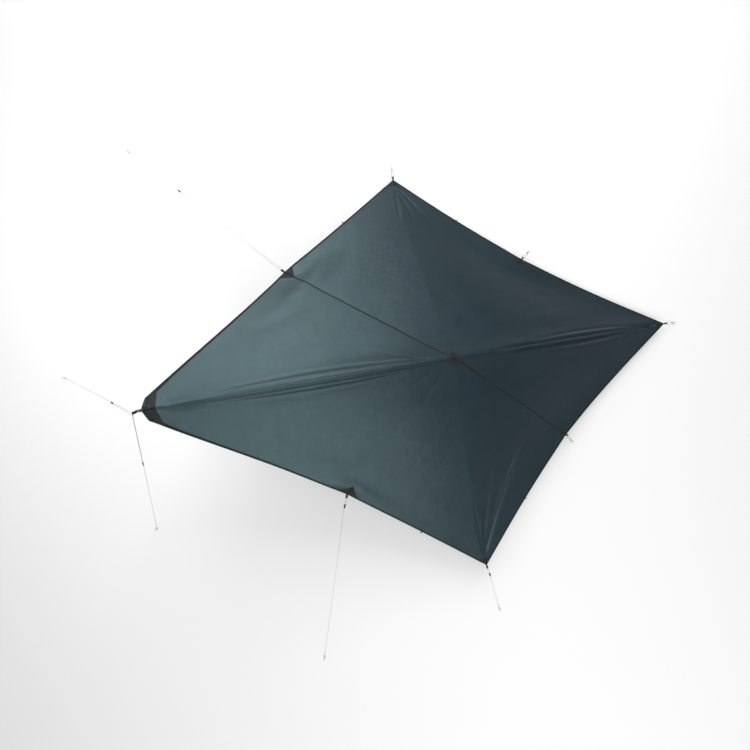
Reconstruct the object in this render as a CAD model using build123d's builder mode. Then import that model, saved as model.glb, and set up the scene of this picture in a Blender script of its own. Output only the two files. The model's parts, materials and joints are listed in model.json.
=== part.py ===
from build123d import *
import math
import os

# Tarp shelter: a square cloth pitched with one corner high on a pole and the opposite corner at the ground.
# Frame: origin on the ground under the pole, +X along the ridge to the low corner, +Z up, millimetres.

# ---- cloth: corners and mid-edges in order round the hem, and the centre of the cloth ----
STATIONS = {
    "front": (16, 0, 1498),
    "front_left": (848, 936, 660),
    "left": (1941, 1843, 60),
    "rear_left": (3051, 853, 80),
    "rear": (4333, 0, 70),
    "rear_right": (3167, -894, 140),
    "right": (2183, -1969, 220),
    "front_right": (1066, -923, 770),
}
CENTRE = Vector(2087, 0, 790)
HALF_EDGE_STEPS = 4  # straight pieces between two neighbouring stations
EDGE_SAG = 24  # how far the hem curves in between two stations
CLOTH_HALF = 0.8  # half of the panel's thickness
LAYER_GAP = 0.1  # air between the cloth and what lies on it
LAYER = 0.6  # thickness of a patch, the seam and the hem
SEAM_WIDTH = 12
HEM_WIDTH = 14
CORNER_PATCH_LEG = 120
SIDE_PATCH_HALF = 90
SIDE_PATCH_DEPTH = 95
CENTRE_PATCH_HALF = 55
SEAM_GAP = 10  # between the seam strip and the centre patch
SEAM_END = 3  # between the seam strip and the side patches
CORNER_PATCH_SHARE = 0.8  # a corner patch's depth over its leg

# ---- webbing ----
WEB_WIDTH = 15
WEB_THICK = 1.5
TAIL_LENGTH = 75  # strap sewn on over a patch
TAIL_REACH = 13  # strap beyond the hem
FRONT_TAIL_REACH = 7
LOOP_LENGTH = 34
LOOP_HALF = 6.5
LOOP_START = 7.5
EYELET_RADIUS = 4.6
EYELET_PLATE = (30, 18, 3)
EYELET_PLATE_SHIFT = (2, -0.5)
EYELET_PLATE_CORNER = 5
CENTRE_LOOP_LENGTH = 36
CENTRE_LOOP_RISE = 13
CENTRE_LOOP_LIFT = 1.2
CENTRE_LOOP_CORNER = 5
TAB_LENGTH = 14
TAB_WIDTH = 10
TAB_THICK = 1.6
TAB_OFFSET = 1.5  # from the hem to the tab

# ---- cords, tensioners and pegs ----
CORD_RADIUS = 1.0
CORD_SIDE = 9.2  # from the loop's middle to the strand beside it
BIGHT_ARC = 1.5
BIGHT_GAP = 0.4  # between the cord and the webbing it hangs in
FRONT_BIGHT = 2.7  # the bight beyond the round end's centre, where two lines share a loop
BESIDE = 2  # the strand's first corner beyond the loop
BACK = 3  # the returning strand's end beyond the loop
CORD_CLEARANCE = 0.5
SLIDER_LENGTH = 34
SLIDER_WIDTH = 15
SLIDER_THICK = 7
SLIDER_CORNER = 3
SLIDER_NOTCH = (0.55, 5)  # the grip notch: its share of the length, and its width
SLIDER_BORE = 1.5
SLIDER_OFFSET = 3.2  # the bore from the tensioner's middle
PEG_RADIUS = 2.5
PEG_BURIED = 150
PEG_NECK = 24  # shank above the ground
PEG_HOOK_RADIUS = 9
PEG_HOOK_TURN = 200
PEG_LEAN = 25
TIE_HEIGHT = 10  # the cord's height on the peg
PEG_LOOP_HALF = 12.5
PEG_LOOP_ARC = 4
PEG_CORD_GAP = 0.9  # between a cord and the peg it pulls on

# line: station, its peg's place on the ground, tensioner's distance from the loop, bight's height in the loop
GUYLINES = {
    "front_left": ("front_left", (-606, 2580), 1390, 0),
    "front_right": ("front_right", (480, -2719), 60, 0),
    "front_a": ("front", (-1615, 463), 420, 2.2),
    "front_b": ("front", (-957, -1174), 640, -2.2),
    "right": ("right", (2282, -2526), 70, 0),
}
DIRECT_PEGS = {"left": (1955, 1969), "rear_left": (3150, 925), "rear": (4466, -8), "rear_right": (3266, -994)}

# ---- pole ----
PIVOT_HEIGHT = 1500.6
SPIKE_RADIUS = 3.5
SPIKE_TOP = 1513
SPIKE_CHAMFER = (1.5, 2)
TIP_PLUG = 20
CONE_TOP = 1497.6
CONE_BASE = 1486
UPPER_RADIUS = 8
UPPER_WALL = 1.2
UPPER_BOTTOM = 640
LOWER_RADIUS = 10
LOWER_BORE = 8.4
LOWER_TOP = 800
FOOT_RADIUS = 15
FOOT_HEIGHT = 30
FOOT_PLUG = 20
FOOT_CHAMFER = 2
FOOT_TAPER = 3
COLLAR_RADIUS = 14.5
COLLAR_HEIGHT = 32
COLLAR_BORE = 10.05
COLLAR_RISE = 4  # above the lower tube's end
EAR_RADIUS = 4.5
EAR_THICK = 3
EAR_OVERLAP = 6  # how far the ears run into the collar
PIN_DROP = 6  # below the collar's top
LEVER_LENGTH = 38
LEVER_WIDTH = 14
LEVER_FINGER_REACH = 7
LEVER_PIN = 2
LEVER_EYE = 4
LEVER_GAP = 0.4
LEVER_PIN_CLEARANCE = 0.1
LEVER_COLLAR_GAP = 0.6

os.makedirs("parts", exist_ok=True)


def save(piece, name):
    piece.label = name
    export_step(piece, "parts/" + name + ".step")


# ---------------------------------------------------------------- cloth
def hem_points():
    """The hem's points in order, four pieces between stations, curved in towards the centre."""
    names = list(STATIONS)
    points = []
    for k, name in enumerate(names):
        start = Vector(*STATIONS[name])
        end = Vector(*STATIONS[names[(k + 1) % len(names)]])
        for step in range(HALF_EDGE_STEPS):
            share = step / HALF_EDGE_STEPS
            point = start + (end - start) * share
            inward = (CENTRE - point).normalized()
            points.append(point + inward * (EDGE_SAG * 4 * share * (1 - share)))
    return points


HEM = hem_points()
COUNT = len(HEM)


def facet_normal(i):
    normal = (HEM[(i + 1) % COUNT] - CENTRE).cross(HEM[i % COUNT] - CENTRE).normalized()
    return normal


HEM_NORMALS = [(facet_normal(i) + facet_normal(i - 1)).normalized() for i in range(COUNT)]
CENTRE_NORMAL = sum((facet_normal(i) for i in range(COUNT)), Vector(0, 0, 0)).normalized()


def on_cloth(i, reach, side, height):
    """A point of facet i: reach 0 at the centre to 1 at the hem, side 0 to 1 across, height off the cloth."""
    a, b = HEM[i % COUNT], HEM[(i + 1) % COUNT]
    na, nb = HEM_NORMALS[i % COUNT], HEM_NORMALS[(i + 1) % COUNT]
    point = CENTRE + ((a - CENTRE) * (1 - side) + (b - CENTRE) * side) * reach
    normal = CENTRE_NORMAL * (1 - reach) + (na * (1 - side) + nb * side) * reach
    return point + normal * height


def skin(triangles, low, high):
    """A closed sheet over triangles of cloth places (facet, reach, side), between two heights."""
    def key(place):
        point = on_cloth(*place, 0)
        return (round(point.X, 3), round(point.Y, 3), round(point.Z, 3))

    edges = {}
    for tri in triangles:
        for k in range(3):
            a, b = tri[k], tri[(k + 1) % 3]
            pair = frozenset((key(a), key(b)))
            edges[pair] = None if pair in edges else (a, b)
    faces = []
    for tri in triangles:
        for height in (low, high):
            faces.append(Face(Wire.make_polygon([on_cloth(*place, height) for place in tri], close=True)))
    for rim in edges.values():
        if rim:
            a, b = sorted(rim, key=key)
            corners = [on_cloth(*a, low), on_cloth(*b, low), on_cloth(*b, high), on_cloth(*a, high)]
            faces.append(Face(Wire.make_polygon([corners[0], corners[1], corners[2]], close=True)))
            faces.append(Face(Wire.make_polygon([corners[0], corners[2], corners[3]], close=True)))
    return Solid(Shell(faces))


def strip(i, near, far, side_near, side_far):
    """Two triangles from one ray of facet i: (reach, side) at both ends, from one side to the other."""
    a, b = (i, near, side_near[0]), (i, far, side_far[0])
    c, d = (i, far, side_far[1]), (i, near, side_near[1])
    return [(a, b, c), (a, c, d)]


def ray_length(j):
    return (HEM[j % COUNT] - CENTRE).length


def side_share(i, reach, width, from_start):
    """How far across facet i a strap of this half width reaches, measured square to its ray."""
    ray = HEM[i % COUNT] if from_start else HEM[(i + 1) % COUNT]
    edge = HEM[(i + 1) % COUNT] - HEM[i % COUNT]
    sine = math.sin(math.radians(edge.get_angle(ray - CENTRE)))
    return width / (reach * edge.length * sine)


def strap(j, near, far, half_width):
    """Triangles of a strap along ray j, both sides of it."""
    after = [side_share(j, r, half_width, True) for r in (near, far)]
    before = [side_share(j - 1, r, half_width, False) for r in (near, far)]
    return strip(j, near, far, (0, after[0]), (0, after[1])) + strip(
        j - 1, near, far, (1 - before[0], 1), (1 - before[1], 1)
    )


def station_ray(name):
    return list(STATIONS).index(name) * HALF_EDGE_STEPS


def panel(first):
    """One fabric panel: 16 facets from the seam round to the seam."""
    facets = [((i, 0, 0), (i, 1, 0), (i, 1, 1)) for i in range(first, first + COUNT // 2)]
    with BuildPart() as cloth:
        add(skin(facets, -CLOTH_HALF, CLOTH_HALF))
    return cloth.part


PATCH_LOW = CLOTH_HALF + LAYER_GAP
PATCH_HIGH = PATCH_LOW + LAYER
STRAP_LOW = PATCH_HIGH + LAYER_GAP
STRAP_HIGH = STRAP_LOW + WEB_THICK
REAR_PANEL_START = station_ray("front_left")
FRONT_PANEL_START = station_ray("rear_right")

save(panel(REAR_PANEL_START), "canopy_panel_rear")
save(panel(FRONT_PANEL_START), "canopy_panel_front")

# The hem: a folded band under the edge, one length on each panel.
for name, start in (("hem_rear", REAR_PANEL_START), ("hem_front", FRONT_PANEL_START)):
    band = []
    for i in range(start, start + COUNT // 2):
        inner = 1 - HEM_WIDTH / ray_length(i)
        inner_next = 1 - HEM_WIDTH / ray_length(i + 1)
        band.append(((i, inner, 0), (i, 1, 0), (i, 1, 1)))
        band.append(((i, inner, 0), (i, 1, 1), (i, inner_next, 1)))
    with BuildPart() as hem:
        add(skin(band, -PATCH_HIGH, -PATCH_LOW))
    save(hem.part, name)

# The centre seam: a felled strip on top, from the centre patch to the two side patches.
with BuildPart() as seam:
    for name in ("front_left", "rear_right"):
        j = station_ray(name)
        near = (CENTRE_PATCH_HALF + SEAM_GAP) / ray_length(j)
        far = 1 - (SIDE_PATCH_DEPTH + SEAM_END) / ray_length(j)
        add(skin(strap(j, near, far, SEAM_WIDTH / 2), PATCH_LOW, PATCH_HIGH))
save(seam.part, "centre_seam")


def patch_at(name, half_base, depth):
    """A triangular patch: its base on the hem, its apex towards the centre."""
    j = station_ray(name)
    apex = 1 - depth / ray_length(j)
    after = half_base / (HEM[(j + 1) % COUNT] - HEM[j % COUNT]).length
    before = half_base / (HEM[(j - 1) % COUNT] - HEM[j % COUNT]).length
    return [
        ((j, apex, 0), (j, 1, 0), (j, 1, after)),
        ((j - 1, apex, 1), (j - 1, 1, 1), (j - 1, 1, 1 - before)),
    ]


CORNERS = ("front", "left", "rear", "right")
for name in STATIONS:
    corner = name in CORNERS
    base = CORNER_PATCH_LEG if corner else SIDE_PATCH_HALF
    depth = CORNER_PATCH_LEG * CORNER_PATCH_SHARE if corner else SIDE_PATCH_DEPTH
    with BuildPart() as patch:
        add(skin(patch_at(name, base, depth), PATCH_LOW, PATCH_HIGH))
    save(patch.part, ("corner_patch_" if corner else "side_patch_") + name)


def square_reach(i):
    """Where ray i leaves the square centre patch, whose sides run along the seam."""
    seam_line = HEM[station_ray("front_left")] - CENTRE
    turn = math.radians(seam_line.get_angle(HEM[i % COUNT] - CENTRE))
    return CENTRE_PATCH_HALF / max(abs(math.cos(turn)), abs(math.sin(turn))) / ray_length(i)


with BuildPart() as centre_patch:
    tiles = []
    for i in range(COUNT):
        tiles.append(((i, 0, 0), (i, square_reach(i), 0), (i, square_reach(i + 1), 1)))
    add(skin(tiles, PATCH_LOW, PATCH_HIGH))
save(centre_patch.part, "centre_patch")


# ---------------------------------------------------------------- webbing
def peg_tie(ground):
    """The place on a peg's shank that its cord pulls on, and the peg's axis and outward direction."""
    outward = Vector(ground[0] - CENTRE.X, ground[1] - CENTRE.Y, 0).normalized()
    lean = math.radians(PEG_LEAN)
    axis = outward * math.sin(lean) + Vector(0, 0, 1) * math.cos(lean)
    tie = Vector(ground[0], ground[1], 0) + axis * (TIE_HEIGHT / math.cos(lean))
    return tie, axis, outward


class LoopFrame:
    """Where a tie-out loop stands: its start, the pull direction, its width direction and its normal."""

    def __init__(self, name, pull, start=None):
        j = station_ray(name)
        self.start = start or on_cloth(j, 1, 0, (STRAP_LOW + STRAP_HIGH) / 2)
        self.pull = pull.normalized()
        normal = HEM_NORMALS[j]
        self.normal = (normal - self.pull * normal.dot(self.pull)).normalized()
        self.width = self.normal.cross(self.pull)

    def at(self, along, across, up):
        return self.start + self.pull * along + self.width * across + self.normal * up


FRONT_PULL = Vector(-1, -0.22, -0.30)
FRONT_START = Vector(-6, -1.5, PIVOT_HEIGHT)
LOOPS = {"front": LoopFrame("front", FRONT_PULL, FRONT_START)}
for name, (station, ground, reach, height) in GUYLINES.items():
    if station != "front":
        LOOPS[station] = LoopFrame(station, peg_tie(ground)[0] - Vector(*STATIONS[station]))
for station, ground in DIRECT_PEGS.items():
    LOOPS[station] = LoopFrame(station, peg_tie(ground)[0] - Vector(*STATIONS[station]))


def webbing_loop(frame):
    """A flat ring of webbing, its hole along the strap's width."""
    middle = frame.at(LOOP_START + LOOP_LENGTH / 2, 0, 0)
    with BuildPart() as ring:
        with BuildSketch(Plane(middle, x_dir=frame.pull, z_dir=frame.width)):
            SlotOverall(LOOP_LENGTH, 2 * LOOP_HALF)
            SlotOverall(LOOP_LENGTH - 2 * WEB_THICK, 2 * (LOOP_HALF - WEB_THICK), mode=Mode.SUBTRACT)
        extrude(amount=WEB_WIDTH / 2, both=True)
    return ring.part


for station, frame in LOOPS.items():
    j = station_ray(station)
    reach = FRONT_TAIL_REACH if station == "front" else TAIL_REACH
    near = 1 - TAIL_LENGTH / ray_length(j)
    far = 1 + reach / ray_length(j)
    with BuildPart() as tie_out:
        add(skin(strap(j, near, far, WEB_WIDTH / 2), STRAP_LOW, STRAP_HIGH))
        add(webbing_loop(frame))
        if station == "front":
            with BuildSketch(Plane.XY.offset(PIVOT_HEIGHT - EYELET_PLATE[2] / 2)):
                with Locations(EYELET_PLATE_SHIFT):
                    RectangleRounded(EYELET_PLATE[0], EYELET_PLATE[1], EYELET_PLATE_CORNER)
                Circle(EYELET_RADIUS, mode=Mode.SUBTRACT)
            extrude(amount=EYELET_PLATE[2])
    save(tie_out.part, "webbing_loop_" + station)

# The centre loop stands on the centre patch, its hole across the ridge.
with BuildPart() as centre_loop:
    base = CENTRE + CENTRE_NORMAL * (PATCH_HIGH + LAYER_GAP)
    across = Vector(0, 1, 0)
    standing = Plane(base + CENTRE_NORMAL * CENTRE_LOOP_LIFT, x_dir=CENTRE_NORMAL.cross(across), z_dir=across)
    hole = (CENTRE_LOOP_LENGTH - 2 * WEB_THICK, CENTRE_LOOP_RISE - 2 * WEB_THICK, CENTRE_LOOP_CORNER - WEB_THICK)
    with BuildSketch(standing):
        with Locations((0, CENTRE_LOOP_RISE / 2)):
            RectangleRounded(CENTRE_LOOP_LENGTH, CENTRE_LOOP_RISE, CENTRE_LOOP_CORNER)
            RectangleRounded(*hole, mode=Mode.SUBTRACT)
    extrude(amount=WEB_WIDTH / 2, both=True)
save(centre_loop.part, "centre_loop")

# Small folded tabs at the quarter points of the hem, and two on the seam.
with BuildPart() as edge_tabs:
    for name in ("front_left", "left", "rear_right", "right"):
        j = station_ray(name) + HALF_EDGE_STEPS // 2
        outward = (HEM[j] - CENTRE).normalized()
        along = (HEM[(j + 1) % COUNT] - HEM[j - 1]).normalized()
        spot = HEM[j] + outward * (TAB_LENGTH / 2 + TAB_OFFSET)
        with BuildSketch(Plane(spot, x_dir=along, z_dir=along.cross(outward))):
            Rectangle(TAB_WIDTH, TAB_LENGTH)
        extrude(amount=TAB_THICK / 2, both=True)
save(edge_tabs.part, "edge_tabs")

with BuildPart() as seam_tabs:
    for name in ("front_left", "rear_right"):
        j = station_ray(name)
        middle = 0.5
        half = TAB_LENGTH / 2 / ray_length(j)
        add(skin(strap(j, middle - half, middle + half, TAB_WIDTH / 2), STRAP_LOW, STRAP_HIGH))
save(seam_tabs.part, "seam_tabs")


# ---------------------------------------------------------------- pegs
def make_peg(ground):
    """A hooked wire peg: a straight shank into the ground and a hook that opens away from the cloth."""
    tie, axis, outward = peg_tie(ground)
    foot = Vector(ground[0], ground[1], 0)
    tip = foot - axis * PEG_BURIED
    neck = foot + axis * PEG_NECK
    sideways = axis.cross(outward).normalized()
    away = sideways.cross(axis).normalized()
    middle = neck + away * PEG_HOOK_RADIUS
    turn = math.radians(PEG_HOOK_TURN)
    top = middle - away * (PEG_HOOK_RADIUS * math.cos(turn / 2)) + axis * (PEG_HOOK_RADIUS * math.sin(turn / 2))
    end = middle - away * (PEG_HOOK_RADIUS * math.cos(turn)) + axis * (PEG_HOOK_RADIUS * math.sin(turn))
    with BuildPart() as peg:
        with BuildLine() as path:
            Line(tip, neck)
            ThreePointArc(neck, top, end)
        with BuildSketch(Plane(tip, z_dir=axis)):
            Circle(PEG_RADIUS)
        sweep(path=path.wires()[0])
    return peg.part


PEG_PLACES = {"guy_" + name: line[1] for name, line in GUYLINES.items()}
PEG_PLACES.update(DIRECT_PEGS)
for name, ground in PEG_PLACES.items():
    save(make_peg(ground), "peg_" + name)


# ---------------------------------------------------------------- cords
def tube(points, radii, radius, closed=False):
    """A round cord along straight runs joined by tangent arcs; prints its arcs and checks its volume."""
    with BuildPart() as cord:
        with BuildLine() as path:
            if radii:
                FilletPolyline(*points, radius=radii, close=closed)
            else:
                Line(*points)
        wire = path.wires()[0]
        with BuildSketch(Plane(wire @ 0, z_dir=wire % 0)):
            Circle(radius)
        sweep(path=wire)
    share = cord.part.volume / (math.pi * radius**2 * wire.length)
    print("cord length", round(wire.length, 1), "arcs", radii, "volume share", round(share, 4))
    return cord.part


LOOP_FRONT = LOOP_START + LOOP_LENGTH
PEG_STANDOFF = PEG_RADIUS + CORD_RADIUS + PEG_CORD_GAP  # from the shank's axis to a cord's centreline
for name, (station, ground, reach, height) in GUYLINES.items():
    frame = LOOPS[station]
    tie, axis, outward = peg_tie(ground)
    side = 1 if (tie - frame.start).dot(frame.width) >= 0 else -1
    bight = LOOP_FRONT - WEB_THICK - CORD_RADIUS - BIGHT_GAP
    if height:
        bight = LOOP_FRONT - LOOP_HALF + FRONT_BIGHT
    beside = frame.at(LOOP_FRONT + BESIDE, side * CORD_SIDE, height)
    turn_in = frame.at(bight, side * CORD_SIDE, height)
    turn_out = frame.at(bight, -side * CORD_SIDE, height)
    back = frame.at(LOOP_FRONT + BACK, -side * CORD_SIDE, height)
    line = (tie - beside).normalized()
    lower_end = tie - line * (PEG_STANDOFF / line.cross(axis).length)
    save(tube([lower_end, beside, turn_in, turn_out, back], [BIGHT_ARC] * 3, CORD_RADIUS), "guyline_" + name)

    # The tensioner rides on the line; the returning strand runs to its upper end.
    towards_back = (back - beside) - line * (back - beside).dot(line)
    towards_back = towards_back.normalized()
    centre = beside + line * (reach + SLIDER_LENGTH / 2) + towards_back * SLIDER_OFFSET
    slider_plane = Plane(centre, x_dir=towards_back, z_dir=line)
    with BuildPart() as slider:
        with BuildSketch(slider_plane.offset(-SLIDER_LENGTH / 2)):
            RectangleRounded(SLIDER_WIDTH, SLIDER_THICK, SLIDER_CORNER)
            with Locations((-SLIDER_OFFSET, 0)):
                Circle(SLIDER_BORE, mode=Mode.SUBTRACT)
        extrude(amount=SLIDER_LENGTH)
        with BuildSketch(Plane(centre, x_dir=line, z_dir=line.cross(towards_back))):
            with Locations((0, SLIDER_WIDTH / 2)):
                SlotOverall(SLIDER_LENGTH * SLIDER_NOTCH[0], SLIDER_NOTCH[1])
        extrude(amount=SLIDER_THICK, both=True, mode=Mode.SUBTRACT)
    save(slider.part, "tensioner_" + name)
    strand_end = centre - line * (SLIDER_LENGTH / 2 + CORD_CLEARANCE) + towards_back * SLIDER_OFFSET
    strand_start = back + (strand_end - back).normalized() * (CORD_CLEARANCE + CORD_RADIUS)
    save(tube([strand_start, strand_end], [], CORD_RADIUS), "guyline_return_" + name)

# Short cord loops between the direct pegs and their webbing.
for station, ground in DIRECT_PEGS.items():
    frame = LOOPS[station]
    tie, axis, outward = peg_tie(ground)
    near = frame.at(LOOP_FRONT - WEB_THICK - CORD_RADIUS - BIGHT_GAP, 0, 0)
    pull = (tie - near).normalized()
    far = tie + pull * (PEG_STANDOFF / abs(pull.dot(axis.cross(frame.width).normalized())))
    across = frame.width * PEG_LOOP_HALF
    corners = [near - across, near + across, far + across, far - across]
    save(tube(corners, [PEG_LOOP_ARC] * 4, CORD_RADIUS, closed=True), "peg_loop_" + station)

# ---------------------------------------------------------------- pole
with BuildPart() as tip:
    with BuildSketch(Plane.XZ):
        with BuildLine():
            Polyline(
                (0, CONE_BASE - TIP_PLUG),
                (UPPER_RADIUS - UPPER_WALL, CONE_BASE - TIP_PLUG),
                (UPPER_RADIUS - UPPER_WALL, CONE_BASE),
                (UPPER_RADIUS, CONE_BASE),
                (SPIKE_RADIUS, CONE_TOP),
                (SPIKE_RADIUS, SPIKE_TOP - SPIKE_CHAMFER[1]),
                (SPIKE_RADIUS - SPIKE_CHAMFER[0], SPIKE_TOP),
                (0, SPIKE_TOP),
                close=True,
            )
        make_face()
    revolve(axis=Axis.Z)
save(tip.part, "pole_tip")

with BuildPart() as upper:
    with BuildSketch(Plane.XY.offset(UPPER_BOTTOM)):
        Circle(UPPER_RADIUS)
        Circle(UPPER_RADIUS - UPPER_WALL, mode=Mode.SUBTRACT)
    extrude(amount=CONE_BASE - UPPER_BOTTOM)
save(upper.part, "pole_upper_tube")

with BuildPart() as lower:
    with BuildSketch(Plane.XY.offset(FOOT_HEIGHT - FOOT_PLUG)):
        Circle(LOWER_RADIUS)
        Circle(LOWER_BORE, mode=Mode.SUBTRACT)
    extrude(amount=LOWER_TOP - FOOT_HEIGHT + FOOT_PLUG)
save(lower.part, "pole_lower_tube")

with BuildPart() as foot:
    with BuildSketch(Plane.XZ):
        with BuildLine():
            Polyline(
                (0, 0),
                (FOOT_RADIUS - FOOT_CHAMFER, 0),
                (FOOT_RADIUS, FOOT_CHAMFER),
                (FOOT_RADIUS - FOOT_TAPER, FOOT_HEIGHT),
                (LOWER_RADIUS, FOOT_HEIGHT),
                (LOWER_RADIUS, FOOT_HEIGHT - FOOT_PLUG),
                (0, FOOT_HEIGHT - FOOT_PLUG),
                close=True,
            )
        make_face()
    revolve(axis=Axis.Z)
save(foot.part, "pole_foot")

# The lever's outline from its pin: a flat arm with a finger grip that kicks out at its lower end.
LEVER_OUTLINE = (
    (-LEVER_EYE, 0),
    (0, 1),
    (0.8, -4),
    (0.8, 4 - LEVER_LENGTH),
    (-4, -LEVER_LENGTH),
    (-LEVER_FINGER_REACH, 1 - LEVER_LENGTH),
    (-3.5, 8 - LEVER_LENGTH),
)
COLLAR_BASE = LOWER_TOP - COLLAR_HEIGHT + COLLAR_RISE
EAR_X = COLLAR_RADIUS + LEVER_EYE + LEVER_COLLAR_GAP
PIN_HEIGHT = COLLAR_BASE + COLLAR_HEIGHT - PIN_DROP
with BuildPart() as collar:
    with BuildSketch(Plane.XY.offset(COLLAR_BASE)):
        Circle(COLLAR_RADIUS)
        Circle(COLLAR_BORE, mode=Mode.SUBTRACT)
    extrude(amount=COLLAR_HEIGHT)
    for side in (-1, 1):
        with BuildSketch(Plane.XZ.offset(-side * (LEVER_WIDTH / 2 + LEVER_GAP))):
            with Locations((-EAR_X, PIN_HEIGHT)):
                Circle(EAR_RADIUS)
            with Locations((-(COLLAR_RADIUS + EAR_X - EAR_OVERLAP) / 2, PIN_HEIGHT)):
                Rectangle(EAR_X - COLLAR_RADIUS + EAR_OVERLAP, 2 * EAR_RADIUS)
        extrude(amount=-side * EAR_THICK)
    with BuildSketch(Plane.XY.offset(COLLAR_BASE - 1)):
        Circle(COLLAR_BORE)
    extrude(amount=COLLAR_HEIGHT + 2, mode=Mode.SUBTRACT)
    with BuildSketch(Plane.XZ):
        with Locations((-EAR_X, PIN_HEIGHT)):
            Circle(LEVER_PIN)
    extrude(amount=LEVER_WIDTH / 2 + LEVER_GAP + EAR_THICK, both=True)
save(collar.part, "pole_clamp_collar")

with BuildPart() as lever:
    with BuildSketch(Plane.XZ):
        with Locations((-EAR_X, PIN_HEIGHT)):
            Circle(LEVER_EYE)
        with BuildLine():
            Polyline([(-EAR_X + x, PIN_HEIGHT + z) for x, z in LEVER_OUTLINE], close=True)
        make_face()
        with Locations((-EAR_X, PIN_HEIGHT)):
            Circle(LEVER_PIN + LEVER_PIN_CLEARANCE, mode=Mode.SUBTRACT)
    extrude(amount=LEVER_WIDTH / 2, both=True)
save(lever.part, "pole_clamp_lever")
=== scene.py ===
import json
import math

import bpy
import numpy as np
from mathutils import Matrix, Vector


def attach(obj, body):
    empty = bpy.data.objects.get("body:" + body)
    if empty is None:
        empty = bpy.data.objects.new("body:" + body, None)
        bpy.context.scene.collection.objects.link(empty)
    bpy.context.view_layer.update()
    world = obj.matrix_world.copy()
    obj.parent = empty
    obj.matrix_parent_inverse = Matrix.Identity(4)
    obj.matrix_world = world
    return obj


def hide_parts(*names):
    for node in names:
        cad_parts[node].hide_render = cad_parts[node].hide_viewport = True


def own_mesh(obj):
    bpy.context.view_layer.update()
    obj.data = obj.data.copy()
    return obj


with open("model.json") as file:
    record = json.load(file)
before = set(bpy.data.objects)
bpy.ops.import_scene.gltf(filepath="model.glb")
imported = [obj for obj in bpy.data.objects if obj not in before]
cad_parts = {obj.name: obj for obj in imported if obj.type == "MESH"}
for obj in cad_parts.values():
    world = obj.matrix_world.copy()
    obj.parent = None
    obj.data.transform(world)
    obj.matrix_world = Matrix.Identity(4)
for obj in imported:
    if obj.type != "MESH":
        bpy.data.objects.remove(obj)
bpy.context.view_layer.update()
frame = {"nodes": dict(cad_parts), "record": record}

# Tarp shelter, looked at from straight above. Everything is in metres, in the part's own frame:
# the origin is on the ground under the pole, +X runs along the ridge to the low corner, +Z is up.

# ---- the pitched cloth: stations round the hem, their places on the flat cloth, and the centre ----
STATIONS = {
    "front": ((0.016, 0.0, 1.498), (0.0, 0.0)),
    "front_left": ((0.848, 0.936, 0.660), (0.5, 0.0)),
    "left": ((1.941, 1.843, 0.060), (1.0, 0.0)),
    "rear_left": ((3.051, 0.853, 0.080), (1.0, 0.5)),
    "rear": ((4.333, 0.0, 0.070), (1.0, 1.0)),
    "rear_right": ((3.167, -0.894, 0.140), (0.5, 1.0)),
    "right": ((2.183, -1.969, 0.220), (0.0, 1.0)),
    "front_right": ((1.066, -0.923, 0.770), (0.0, 0.5)),
}
CENTRE = Vector((2.087, 0.0, 0.790))
CORNERS = ("front", "left", "rear", "right")
SIDE = 3.03  # the flat cloth's edge
EDGE_SAG = 0.024  # how far the edge curves in between two stations
GRID = 151  # points of the simulated cloth, each way
PIN_RADIUS = 0.035  # the cloth held at a station
CORNER_PIN = 0.075  # the cloth held at the high corner
NOSE_HALF = 0.056  # the high corner's extra width on each side of the ridge
NOSE_LENGTH = 0.62  # how far along the ridge that width dies away
NOSE_CUP = 0.45  # the corner's droop over its extra width
NOSE_KEPT = 0.25  # nearer the corner than this, the cloth is smoothed less and less
DRAPE_FRAMES = 40
SMOOTH_PASSES = 14
WRINKLES_KEPT = 0.12  # the share of the small wrinkles that smoothing leaves
HEM_WIDTH = 0.014
PATCH_LEG = 0.12
SIDE_PATCH_HALF = 0.09
SIDE_PATCH_DEPTH = 0.095
CENTRE_PATCH_HALF = 0.055
SEAM_WIDTH = 0.012
SEAM_RISE = 0.0009
PATCH_RISE = 0.0012
RIM_RISE = 0.0001  # a layer's edge over the cloth
RIM_WIDTH = 0.0004

# ---- webbing ----
WEB_WIDTH = 0.015
WEB_THICK = 0.0015
TAIL = 0.075
LOOP_START = 0.0075
LOOP_LENGTH = 0.034
LOOP_HALF = 0.0065
LOOP_FRONT = LOOP_START + LOOP_LENGTH
LOOP_LIFT = 0.0023  # a loop's middle over the cloth
TAIL_RISE = (0.0011, 0.0013)  # the sewn strap's lower face, and what its thickness is added to
PIVOT_HEIGHT = 1.5006
EYELET_RADIUS = 0.0046
PLATE_HALF = (0.0148, 0.0088)
PLATE_CORNER = 0.0156
PLATE_SHIFT = (0.002, -0.0005)
TAB_WIDTH = 0.010
TAB_THICK = 0.001
SEAM_TAB_WIDTH = 0.011
SEAM_TAB_HALF = 0.007

# ---- cords, tensioners and pegs ----
CORD_RADIUS = 0.001
CORD_SIDE = 0.0092
CORD_CLEARANCE = 0.0005
BIGHT_GAP = 0.0004  # between a cord and the webbing it hangs in
FRONT_BIGHT = 0.0027  # past the round end's centre, where two lines share a loop
BESIDE = 0.002  # the strand's first corner beyond the loop
BACK = 0.003  # the returning strand's end beyond the loop
STRAIGHT_START = 0.012
KNOT_SIZE = 0.003
SMALL_KNOT = 0.0028
KNOT_BACK = 0.0055  # from the line's end to its knot
STRAND_STEPS = 12
SLIDER_LENGTH = 0.034
SLIDER_OFFSET = 0.0032
PEG_RADIUS = 0.0025
PEG_CORD_GAP = 0.0009
PEG_STANDOFF = PEG_RADIUS + CORD_RADIUS + PEG_CORD_GAP
PEG_LEAN = math.radians(25)
TIE_HEIGHT = 0.010
PEG_LOOP_HALF = 0.0125
PEG_LOOP_NARROW = 0.42  # the loop's width at the peg over its width at the webbing
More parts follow.
